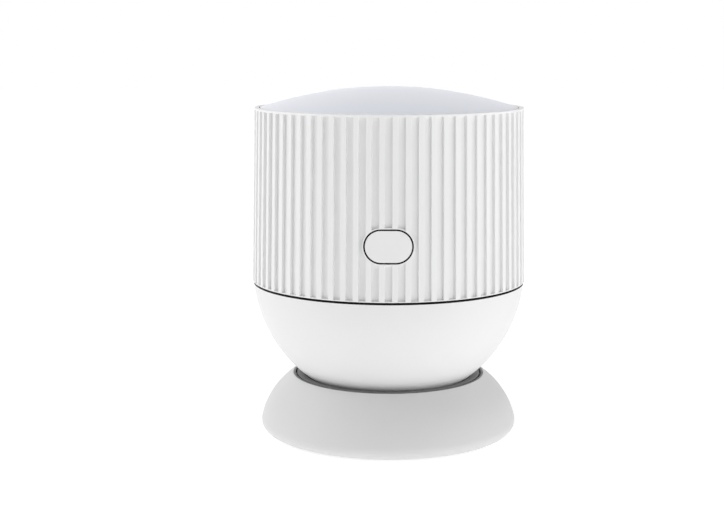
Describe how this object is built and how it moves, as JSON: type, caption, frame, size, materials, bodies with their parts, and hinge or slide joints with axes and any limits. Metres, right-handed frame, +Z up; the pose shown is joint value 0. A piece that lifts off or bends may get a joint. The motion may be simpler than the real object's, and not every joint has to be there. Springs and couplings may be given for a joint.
{
  "type": "mesh wifi node",
  "caption": "Grooved canister with a domed cap and a front button, on a ball-shaped bowl that turns and tilts in a round weighted pedestal.",
  "frame": {"origin": "on the table, under the middle of the pedestal", "axes": "+Z up, +Y towards the back with the ports, -Y towards the front with the button, +X to the right seen from the front"},
  "size_m": [0.104, 0.104, 0.1322],
  "materials": {
    "white_shell": "satin",
    "white_bowl": "matte",
    "cap_plastic": "satin",
    "button_plastic": "satin",
    "seam_rubber": "matte",
    "dish_plastic": "matte",
    "grip_rubber": "matte",
    "foot_rubber": "matte",
    "plate_plastic": "matte",
    "port_plastic": "matte",
    "jack_plastic": "satin",
    "contact_metal": "polished",
    "inlet_metal": "satin",
    "switch_plastic": "satin",
    "frame_plastic": "matte",
    "antenna_foil": "satin",
    "lead_plastic": "satin",
    "board_laminate": "satin",
    "chip_plastic": "matte",
    "can_metal": "satin",
    "pad_silicone": "matte",
    "sink_metal": "satin",
    "screw_metal": "satin",
    "ballast_metal": "rough",
    "magnet_metal": "polished",
    "keeper_metal": "satin",
    "bush_plastic": "satin",
    "led_plastic": "gloss",
    "clear_acrylic": "gloss"
  },
  "bodies": {
    "base": {"pedestal_shell": "white_bowl", "trim_ring": "dish_plastic", "turntable_deck": "plate_plastic", "bottom_plate": "plate_plastic", "foot_ring": "foot_rubber", "ballast_ring": "ballast_metal", "bottom_screws": "screw_metal", "bearing_bush": "bush_plastic"},
    "seat": {"seat_dish": "dish_plastic", "grip_ring": "grip_rubber", "seat_magnet": "magnet_metal", "seat_retainer": "plate_plastic", "retainer_screws": "screw_metal"},
    "head": {"bowl": "white_bowl", "keeper_plate": "keeper_metal", "seam_gasket": "seam_rubber", "rib_shell": "white_shell", "dome_cap": "cap_plastic", "light_guide": "clear_acrylic", "led_board": "board_laminate", "status_leds": "led_plastic", "inner_frame": "frame_plastic", "antenna_front_left": "antenna_foil", "antenna_front_right": "antenna_foil", "antenna_rear_left": "antenna_foil", "antenna_rear_right": "antenna_foil", "antenna_leads": "lead_plastic", "main_board": "board_laminate", "board_chips": "chip_plastic", "shield_can": "can_metal", "thermal_pad": "pad_silicone", "heat_sink": "sink_metal", "frame_screws": "screw_metal", "lan_jack_left": "jack_plastic", "lan_jack_right": "jack_plastic", "jack_contacts": "contact_metal", "power_inlet": "inlet_metal", "reset_switch": "switch_plastic", "port_bezel": "port_plastic", "button_seal": "seam_rubber", "button_switch": "switch_plastic", "button_board": "board_laminate"},
    "button": {"button_cap": "button_plastic"}
  },
  "joints": [
    {"name": "swivel", "type": "hinge", "parent": "base", "child": "seat", "pos_m": [0, 0, 0.0076], "axis": [0, 0, 1], "continuous": true},
    {"name": "tilt", "type": "hinge", "parent": "seat", "child": "head", "pos_m": [0, 0, 0.0634], "axis": [1, 0, 0], "range_deg": [-15, 15]},
    {"name": "button_press", "type": "slide", "parent": "head", "child": "button", "axis": [0, 1, 0], "range_m": [0, 0.0006], "stiffness_N_per_m": 3000, "springref_m": -0.0002}
  ]
}
